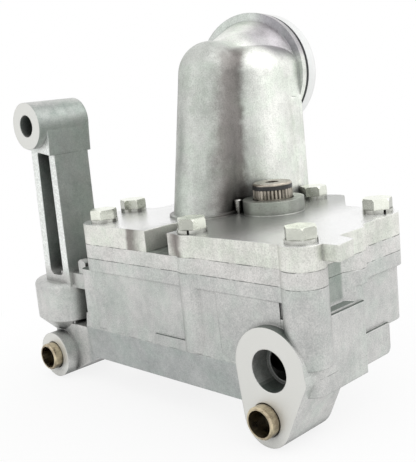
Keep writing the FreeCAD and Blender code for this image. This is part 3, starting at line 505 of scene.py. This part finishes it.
        # painted dark reflection on the upper shoulder of the elbow by the collar
        shoulder = board.maths("MULTIPLY", board.spread(along.outputs["X"], *SHOULDER_SIDE),
                               board.spread(along.outputs["Z"], *SHOULDER_FOOT))
        shoulder = board.maths("MULTIPLY", shoulder, board.spread(along.outputs["Y"], *SHOULDER_BACK))
        colour = board.blend(shoulder, colour, SHOULDER_SHADE, "MULTIPLY")
        colour = self.boss(board, place, colour)
        # painted shade on the collar's forward face
        front = board.spread(board.add("SeparateXYZ", {0: board.facing()}).outputs["Y"], -0.7, -0.95)
        behind = board.spread(along.outputs["Y"], COLLAR_FRONT - 1.5, COLLAR_FRONT - 0.5)
        collar = board.maths("MULTIPLY", front, behind)
        colour = board.blend(collar, colour, COLLAR_SHADE, "MULTIPLY")
        rings = board.add("Mapping", {"Vector": local.outputs[0], "Scale": (0.02, 2.2, 0.02)}).outputs[0]
        turned = board.blend(board.noise(rings, 1.0, 2.0, 0.6), SPIGOT_DULL, SPIGOT_BRIGHT)
        return board.blend(board.spread(along.outputs["Y"], SPIGOT_START - 0.2, SPIGOT_START + 0.2), colour, turned)

    def boss(self, board: Board, place: Socket, colour: Socket) -> Socket:
        """Paints shade on the rough side of the bearing boss.

        Args:
            board: Board of the material.
            place: Position in millimetres.
            colour: Colour so far.

        Returns:
            The colour.
        """
        out = board.add("VectorMath", {0: place, 1: (*BOSS_AXIS, 0.0)}, operation="SUBTRACT").outputs[0]
        flat = board.add("VectorMath", {0: out, 1: (1.0, 1.0, 0.0)}, operation="MULTIPLY").outputs[0]
        radial = board.add("VectorMath", {0: flat}, operation="LENGTH").outputs["Value"]
        height = board.add("SeparateXYZ", {0: place}).outputs["Z"]
        # painted shade on the side wall of the boss, between the cover face and the boss top
        mask = board.maths("MULTIPLY", board.spread(radial, BOSS_REACH + 1.0, BOSS_REACH),
                           board.spread(height, COVER_TOP + 0.1, COVER_TOP + 0.6))
        mask = board.maths("MULTIPLY", mask, board.spread(height, BOSS_TOP + 0.4, BOSS_TOP - 0.1))
        return board.blend(mask, colour, BOSS_SHADE, "MULTIPLY")

    def ledges(self, board: Board, place: Socket, colour: Socket) -> Socket:
        """Paints shade on the shelves, in the recess in the end wall, on the band under the parting line and, lower
        down, on the forward faces.

        Args:
            board: Board of the material.
            place: Position in millimetres.
            colour: Colour so far.

        Returns:
            The colour.
        """
        upward = board.add("SeparateXYZ", {0: board.facing()}).outputs["Z"]
        where = board.add("SeparateXYZ", {0: place})
        stack = board.spread(where.outputs["X"], ARM_RIGHT + 3.0, ARM_RIGHT + 6.0)
        # painted shade on the faces that look up, away from the arm
        shelf = board.maths("MULTIPLY", board.spread(upward, 0.6, 0.88), stack)
        colour = board.blend(shelf, colour, SHELF_SHADE, "MULTIPLY")
        # painted shade in the recess of the end wall
        recess = board.maths("MULTIPLY",
                             board.spread(where.outputs["X"], RECESS_FLOOR - 1.0, RECESS_FLOOR - 0.5),
                             board.spread(where.outputs["X"], RECESS_FLOOR + 2.6, RECESS_FLOOR + 2.0))
        for axis, start, end in (("Y", *RECESS_Y), ("Z", *RECESS_Z)):
            recess = board.maths("MULTIPLY", recess, board.spread(where.outputs[axis], start - 0.8, start + 0.8))
            recess = board.maths("MULTIPLY", recess, board.spread(where.outputs[axis], end + 0.8, end - 0.8))
        colour = board.blend(recess, colour, RECESS_SHADE, "MULTIPLY")
        # painted shade on the band under the parting line
        low = board.spread(where.outputs["Z"], PARTING_LEVEL, PARTING_LEVEL - 0.5)
        between = board.maths("MULTIPLY", stack, board.spread(where.outputs["X"], *LOW_BAND_END))
        colour = board.blend(board.maths("MULTIPLY", low, between), colour, LOW_BAND_SHADE, "MULTIPLY")
        # painted shade on the forward faces, darker towards the bottom
        ahead = board.add("SeparateXYZ", {0: board.facing()}).outputs["Y"]
        fall = board.maths("MULTIPLY", board.spread(where.outputs["Z"], *FRONT_FALL),
                           board.spread(ahead, -0.3, -0.8))
        fall = board.maths("MULTIPLY", fall, stack)
        return board.blend(fall, colour, FRONT_SHADE, "MULTIPLY")

    def machined(self, board: Board, groups: Groups, place: Socket, colour: Socket) -> tuple[Socket, Socket]:
        """Smooths the faces that are milled flat and lightens them: with a painted sheen on the cover face, with
        plain machined grey on the body and the plate.

        Args:
            board: Board of the material.
            groups: Shared node groups.
            place: Position in millimetres.
            colour: Colour so far.

        Returns:
            Colour and roughness.
        """
        where = board.add("SeparateXYZ", {0: place})
        facing = board.add("SeparateXYZ", {0: board.facing()})
        if self.surface is Surface.COVER:
            coordinate, level, normal = where.outputs["Z"], COVER_TOP, facing.outputs["Z"]
            # on the cover the milled colour is a painted sheen
            milled, smooth = self.painted_milled_sheen(board, place, where), 0.24
        else:
            coordinate, level = where.outputs["Y"], MOUNTING_FACE
            normal = board.maths("MULTIPLY", facing.outputs["Y"], -1.0)
            milled, smooth = MILLED_GREY, 0.5
        face = board.add("Group", {"Coordinate": coordinate, "Level": level, "Facing": normal},
                         node_tree=groups.face)
        mask = face.outputs["Mask"]
        colour = board.blend(board.maths("MULTIPLY", mask, 0.94), colour, milled)
        uneven = board.spread(board.noise(place, 0.3, 4.0, 0.6), 0.3, 0.7,
                              self.roughness - 0.06, self.roughness + 0.1)
        mixed = board.add("Mix", {0: mask, 2: uneven, 3: smooth}, data_type="FLOAT")
        return colour, mixed.outputs[0]

    def painted_milled_sheen(self, board: Board, place: Socket, where: bpy.types.Node) -> Socket:
        """Painted sheen of the milled cover face: a painted reflection, grey by the bearing boss, near white
        towards the ends.

        Args:
            board: Board of the material.
            place: Position in millimetres.
            where: Node that splits the position.

        Returns:
            The colour.
        """
        fine = board.add("Mapping", {"Vector": place, "Scale": (0.08, 1.6, 1.0)}).outputs[0]
        lines = board.maths("MULTIPLY", board.maths("SUBTRACT", board.noise(fine, 1.0, 3.0, 0.7), 0.5), 0.3)
        # painted reflection: grey by the boss, near white towards the ends
        off = board.maths("ABSOLUTE", board.maths("SUBTRACT", where.outputs["X"], SHEEN_MIDDLE))
        bright = board.maths("ADD", board.spread(off, 9.0, 36.0), lines, clamp=True)
        return board.blend(bright, PAINTED_SHEEN_GREY, PAINTED_SHEEN_WHITE)

    def seams(self, board: Board, groups: Groups, place: Socket, colour: Socket) -> Socket:
        """Draws the dark split lines of the stack and the parting line of the block, and breaks them up.

        Args:
            board: Board of the material.
            groups: Shared node groups.
            place: Position in millimetres.
            colour: Colour so far.

        Returns:
            The colour.
        """
        along = board.add("SeparateXYZ", {0: place}).outputs["X"]
        on_stack = board.maths("GREATER_THAN", along, ARM_RIGHT + 3.0)
        levels = [(level, 0.22, 0.42) for level in PLATE_LEVELS]
        if self.surface is Surface.BODY:
            levels.append((PARTING_LEVEL, 0.12, 0.5))
        for level, width, gaps in levels:
            line = board.add("Group", {"Position": place, "Level": level, "Half width": width},
                             node_tree=groups.seam)
            broken = board.spread(board.noise(place, 0.12, 3.0, 0.7), gaps, gaps + 0.12)
            mask = board.maths("MULTIPLY", board.maths("MULTIPLY", line.outputs["Mask"], broken), on_stack)
            colour = board.blend(board.maths("MULTIPLY", mask, 0.75), colour, SEAM_DARK)
        return colour

    def paint_crevice_shade(self, board: Board, colour: Socket) -> Socket:
        """Paints shade into hollows and inner corners, deep ones almost to black.

        Args:
            board: Board of the material.
            colour: Colour so far.

        Returns:
            The colour.
        """
        wide = board.add("AmbientOcclusion", {"Distance": self.reach * MM}, samples=8).outputs["AO"]
        near = board.add("AmbientOcclusion", {"Distance": 3.0 * MM}, samples=6, only_local=True).outputs["AO"]
        # painted shade, deepest in hollows and tight corners
        depth = board.maths("MULTIPLY", board.spread(wide, 0.0, 0.62, self.shadow, 1.0),
                            board.spread(near, 0.3, 0.85, 0.55, 1.0))
        gain = board.add("CombineColor", {0: depth, 1: depth, 2: depth}).outputs[0]
        return board.blend(1.0, colour, gain, "MULTIPLY")


@dataclass(frozen=True)
class TurnedMetal:
    """Turned, ground or plated metal with fine streaks, and with shade painted by facing and in shut places.

    Streak is the share of the streaks against the patches, shadow how dark the painted shade in a shut place
    goes and reach how far, in millimetres, a wall is felt. Top gain is painted shade that dims faces that look
    up, facets the painted shade of the darkest side facet.
    """

    name: str
    colour: Colour
    second: Colour
    roughness: float
    metallic: float = 1.0
    streak: float = 0.25
    shadow: float = 0.08
    reach: float = 8.0
    painted_top_gain: float = 1.0
    painted_facet_shade: float = 1.0

    def build(self, groups: Groups) -> bpy.types.Material:
        """Builds the material.

        Args:
            groups: Shared node groups; not used here.

        Returns:
            The material.
        """
        material, board, shader, place = start_material(self.name)
        stretch = board.add("Mapping", {"Vector": place, "Scale": (0.25, 0.25, 3.0)}).outputs[0]
        lines = board.noise(stretch, 1.3, 3.0, 0.7)
        patches = board.noise(place, 0.22, 4.0, 0.6)
        mixed = board.maths("ADD", board.maths("MULTIPLY", lines, self.streak),
                            board.maths("MULTIPLY", patches, 1.0 - self.streak))
        colour = board.blend(board.spread(mixed, 0.35, 0.65), self.second, self.colour)
        # painted light by facing: top gain dims faces that look up, and each side facet gets its own painted shade
        # from its normal
        upward = board.add("SeparateXYZ", {0: board.facing()}).outputs["Z"]
        facet = board.noise(board.facing(), 1.9, 0.0)
        side = board.spread(facet, 0.35, 0.65, self.painted_facet_shade, 1.0)
        level = board.maths("MULTIPLY", board.spread(upward, 0.55, 0.95, 1.0, self.painted_top_gain),
                            board.add("Mix", {0: board.spread(upward, 0.2, 0.7), 2: side, 3: 1.0},
                                      data_type="FLOAT").outputs[0])
        # painted shade in shut places
        shut = board.add("AmbientOcclusion", {"Distance": self.reach * MM}, samples=8).outputs["AO"]
        depth = board.maths("MULTIPLY", board.spread(shut, 0.1, 0.9, self.shadow, 1.0), level)
        gain = board.add("CombineColor", {0: depth, 1: depth, 2: depth}).outputs[0]
        colour = board.blend(1.0, colour, gain, "MULTIPLY")
        board.feed(shader.inputs["Base Color"], colour)
        uneven = board.spread(patches, 0.3, 0.7, self.roughness - 0.06, self.roughness + 0.08)
        board.feed(shader.inputs["Roughness"], uneven)
        shader.inputs["Metallic"].default_value = self.metallic
        bump = board.add("Bump", {"Height": lines, "Strength": 0.2, "Distance": 0.02 * MM})
        board.feed(shader.inputs["Normal"], bump.outputs["Normal"])
        return material


@dataclass(frozen=True)
class MattSkin:
    """Rubber or blackened skin with a faint grain."""

    name: str
    colour: Colour
    roughness: float

    def build(self, groups: Groups) -> bpy.types.Material:
        """Builds the material.

        Args:
            groups: Shared node groups; not used here.

        Returns:
            The material.
        """
        material, board, shader, place = start_material(self.name)
        grain = board.noise(place, 1.2, 3.0, 0.6)
        pale = tuple(c * 1.8 + 0.01 for c in self.colour)
        board.feed(shader.inputs["Base Color"], board.blend(board.spread(grain, 0.4, 0.7), self.colour, pale))
        uneven = board.spread(grain, 0.3, 0.7, self.roughness - 0.05, self.roughness + 0.05)
        board.feed(shader.inputs["Roughness"], uneven)
        bump = board.add("Bump", {"Height": grain, "Strength": 0.2, "Distance": 0.05 * MM})
        board.feed(shader.inputs["Normal"], bump.outputs["Normal"])
        return material


Finish = Union[CastSkin, TurnedMetal, MattSkin]


@dataclass(frozen=True)
class SubAssembly:
    """Nodes that belong together, with the finishes that they wear."""

    def wears(self) -> dict[Finish, tuple[str, ...]]:
        """Lists the finishes.

        Returns:
            Each finish with the nodes that wear it.
        """
        raise NotImplementedError

    def dress(self, groups: Groups) -> None:
        """Builds each finish once and puts it on its nodes.

        Args:
            groups: Shared node groups.
        """
        for finish, nodes in self.wears().items():
            material = finish.build(groups)
            for node in nodes:
                paint(node, material)


@dataclass(frozen=True)
class Castings(SubAssembly):
    """Body, separator plate and cover with its elbow."""

    body: CastSkin = CastSkin("body casting", Surface.BODY, (0.72, 0.71, 0.69), (0.42, 0.43, 0.42),
                              (0.88, 0.97, 0.92), 0.4, 0.7, streak=0.15)
    plate: CastSkin = CastSkin("plate casting", Surface.PLATE, (0.82, 0.8, 0.78), (0.46, 0.46, 0.44),
                               (0.9, 0.97, 0.94), 0.4, 0.3, streak=0.0)
    cover: CastSkin = CastSkin("cover casting", Surface.COVER, (0.97, 0.98, 0.93), (0.66, 0.67, 0.63),
                               (0.9, 0.98, 0.91), 0.34, 0.6, grain=1.4, streak=0.3)

    def wears(self) -> dict[Finish, tuple[str, ...]]:
        """Each casting has its own skin.

        Returns:
            Each finish with the nodes that wear it.
        """
        return {self.body: ("pump_body",), self.plate: ("separator_plate",), self.cover: ("top_cover",)}


@dataclass(frozen=True)
class Hardware(SubAssembly):
    """Bolts, washers, dowels, pins and the post."""

    zinc: TurnedMetal = TurnedMetal("zinc plated steel", (0.98, 1.0, 0.9), (0.84, 0.86, 0.77), 0.26,
                                    shadow=0.3, reach=5.0, painted_facet_shade=0.55)
    washer: TurnedMetal = TurnedMetal("washer steel", (0.78, 0.79, 0.74), (0.5, 0.5, 0.46), 0.25)
    dowel: TurnedMetal = TurnedMetal("dowel steel", (0.78, 0.68, 0.48), (0.38, 0.31, 0.22), 0.3, painted_facet_shade=0.5)
    ground: TurnedMetal = TurnedMetal("ground steel", (0.60, 0.60, 0.57), (0.48, 0.47, 0.44), 0.3)

    def wears(self) -> dict[Finish, tuple[str, ...]]:
        """Zinc on the bolts, plain steels on the rest.

        Returns:
            Each finish with the nodes that wear it.
        """
        return {
            self.zinc: ("cover_bolts",),
            self.washer: ("spring_washers",),
            self.dowel: ("left_dowel_sleeve", "right_dowel_sleeve"),
            self.ground: ("locating_pins", "cover_post"),
        }


@dataclass(frozen=True)
class Works(SubAssembly):
    """Shafts, gears, keys, bearings, ring and seal."""

    shaft: TurnedMetal = TurnedMetal("shaft steel", (0.7, 0.64, 0.55), (0.42, 0.38, 0.32), 0.3,
                                     painted_top_gain=0.6, painted_facet_shade=0.65)
    gear: TurnedMetal = TurnedMetal("gear steel", (0.42, 0.42, 0.42), (0.3, 0.3, 0.3), 0.4)
    bronze: TurnedMetal = TurnedMetal("bearing bronze", (0.55, 0.40, 0.20), (0.42, 0.29, 0.14), 0.35)
    key: TurnedMetal = TurnedMetal("key steel", (0.55, 0.55, 0.53), (0.42, 0.42, 0.4), 0.35)
    ring: MattSkin = MattSkin("black ring", (0.015, 0.015, 0.015), 0.45)
    seal: MattSkin = MattSkin("seal rubber", (0.02, 0.02, 0.02), 0.6)

    def wears(self) -> dict[Finish, tuple[str, ...]]:
        """Steel on what turns, bronze on what it turns in.

        Returns:
            Each finish with the nodes that wear it.
        """
        return {
            self.shaft: ("drive_shaft", "idler_shaft"),
            self.gear: ("drive_gear", "driven_gear"),
            self.key: ("drive_gear_key", "driven_gear_key"),
            self.bronze: ("upper_drive_bush", "lower_drive_bush", "upper_idler_bush", "lower_idler_bush"),
            self.ring: ("drive_shaft_ring",),
            self.seal: ("neck_seal_ring",),
        }


def paint(node: str, material: bpy.types.Material) -> None:
    """Puts one material on a CAD node.

    Args:
        node: Name of the node.
        material: Its material.
    """
    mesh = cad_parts[node].data
    mesh.materials.clear()
    mesh.materials.append(material)
    log.info("%s wears %s", node, material.name)


@dataclass
class Camera:
    """The photograph's view, from edges and circles fitted to the pump."""

    place: tuple[float, float, float] = (172.583, -188.569, 98.877)
    azimuth: float = 45.94
    elevation: float = 10.75
    roll: float = 5.55
    lens: float = 61.77
    shift: tuple[float, float] = (-0.00258, -0.00108)

    def build(self) -> None:
        """Makes the camera.

        The back axis points from the pump to the camera; right is level; both turn by the roll.
        """
        azimuth, elevation, roll = (math.radians(a) for a in (self.azimuth, self.elevation, self.roll))
        back = Vector((math.sin(azimuth) * math.cos(elevation), -math.cos(azimuth) * math.cos(elevation),
                       math.sin(elevation)))
        right = Vector((math.cos(azimuth), math.sin(azimuth), 0.0))
        up = back.cross(right)
        across = right * math.cos(roll) - up * math.sin(roll)
        upward = right * math.sin(roll) + up * math.cos(roll)
        data = bpy.data.cameras.new("photo_camera")
        data.lens = self.lens
        data.sensor_width = 36.0
        data.shift_x, data.shift_y = self.shift
        data.clip_start = 0.01
        data.clip_end = 20.0
        camera = bpy.data.objects.new("photo_camera", data)
        bpy.context.scene.collection.objects.link(camera)
        turn = Matrix((across, upward, back)).transposed().to_4x4()
        camera.matrix_world = Matrix.Translation(Vector(self.place) * MM) @ turn
        bpy.context.scene.camera = camera


@dataclass
class Studio:
    """Pale floor, white surroundings and soft lamps."""

    floor_half: float = 2500.0
    floor_glow: float = 0.84
    surround: float = 0.85
    key_place: tuple[float, float, float] = (560.0, 260.0, 620.0)
    key_size: float = 1100.0
    key_power: float = 3.8
    fill_place: tuple[float, float, float] = (-300.0, -620.0, 260.0)
    fill_size: float = 500.0
    fill_power: float = 0.3
    aim: tuple[float, float, float] = (-60.0, 45.0, 30.0)
    shadow_reach: tuple[float, float] = (100.0, 260.0)

    def build(self) -> None:
        """Makes the floor, the world and the lamps."""
        self.floor()
        self.world()
        self.lamp("key_lamp", self.key_place, self.key_size, self.key_power)
        self.lamp("fill_lamp", self.fill_place, self.fill_size, self.fill_power)

    def floor(self) -> None:
        """Square sheet under the lowest point, with a faint shadow; it fades to plain white farther out."""
        low = cad_box[0].z / MM - 0.2
        half = self.floor_half
        points = [(-half, -half, low), (half, -half, low), (half, half, low), (-half, half, low)]
        mesh = bpy.data.meshes.new("floor")
        mesh.from_pydata([tuple(c * MM for c in p) for p in points], [], [(0, 1, 2, 3)])
        sheet = bpy.data.objects.new("floor", mesh)
        bpy.context.scene.collection.objects.link(sheet)
        material = bpy.data.materials.new("floor paper")
        material.use_nodes = True
        material.node_tree.nodes.clear()
        board = Board(material.node_tree)
        place = board.add("TexCoord").outputs["Object"]
        reach = board.add("VectorMath", {0: place}, operation="LENGTH").outputs["Value"]
        light = board.add("LightPath")
        seen = board.maths("MAXIMUM", light.outputs["Is Camera Ray"], light.outputs["Is Glossy Ray"])
        seen = board.maths("MAXIMUM", seen, light.outputs["Is Transmission Ray"])
        near, far = (edge * MM for edge in self.shadow_reach)
        fade = board.maths("MULTIPLY", board.spread(reach, near, far, self.floor_glow, 1.0), seen)
        paper = board.add("BsdfDiffuse", {"Color": (0.9, 0.9, 0.9, 1.0)})
        white = board.add("Emission", {"Color": (1.0, 1.0, 1.0, 1.0), "Strength": 1.0})
        mixed = board.add("MixShader", {0: fade, 1: paper.outputs[0], 2: white.outputs[0]})
        board.add("OutputMaterial", {"Surface": mixed.outputs[0]})
        mesh.materials.append(material)

    def world(self) -> None:
        """White to the camera and to reflections, a plain level for the rest."""
        world = bpy.data.worlds.new("studio_world")
        world.use_nodes = True
        world.node_tree.nodes.clear()
        board = Board(world.node_tree)
        light = board.add("LightPath")
        seen = board.maths("MAXIMUM", light.outputs["Is Camera Ray"], light.outputs["Is Glossy Ray"])
        seen = board.maths("MAXIMUM", seen, light.outputs["Is Transmission Ray"])
        level = board.add("MapRange", {"Value": seen, "To Min": self.surround, "To Max": 1.0})
        back = board.add("Background", {"Color": (1.0, 1.0, 1.0, 1.0), "Strength": level.outputs[0]})
        board.add("OutputWorld", {"Surface": back.outputs[0]})
        bpy.context.scene.world = world

    def lamp(self, name: str, place: tuple[float, float, float], size: float, power: float) -> None:
        """Square soft lamp aimed at the pump.

        Args:
            name: Name of the lamp.
            place: Where it hangs.
            size: Side of the square.
            power: Watts.
        """
        data = bpy.data.lights.new(name, "AREA")
        data.size = size * MM
        data.energy = power
        lamp = bpy.data.objects.new(name, data)
        bpy.context.scene.collection.objects.link(lamp)
        spot = Vector(place) * MM
        aim = Vector(self.aim) * MM - spot
        lamp.matrix_world = Matrix.Translation(spot) @ aim.to_track_quat("-Z", "Y").to_matrix().to_4x4()


def main() -> None:
    """Builds the studio and dresses the pump."""
    logging.basicConfig(level=logging.INFO)
    bpy.context.scene.view_settings.view_transform = "Standard"
    groups = Groups(cast_grain_group(), seam_group(), level_face_group())
    Castings().dress(groups)
    Hardware().dress(groups)
    Works().dress(groups)
    Camera().build()
    Studio().build()


if __name__ == "__main__":
    main()
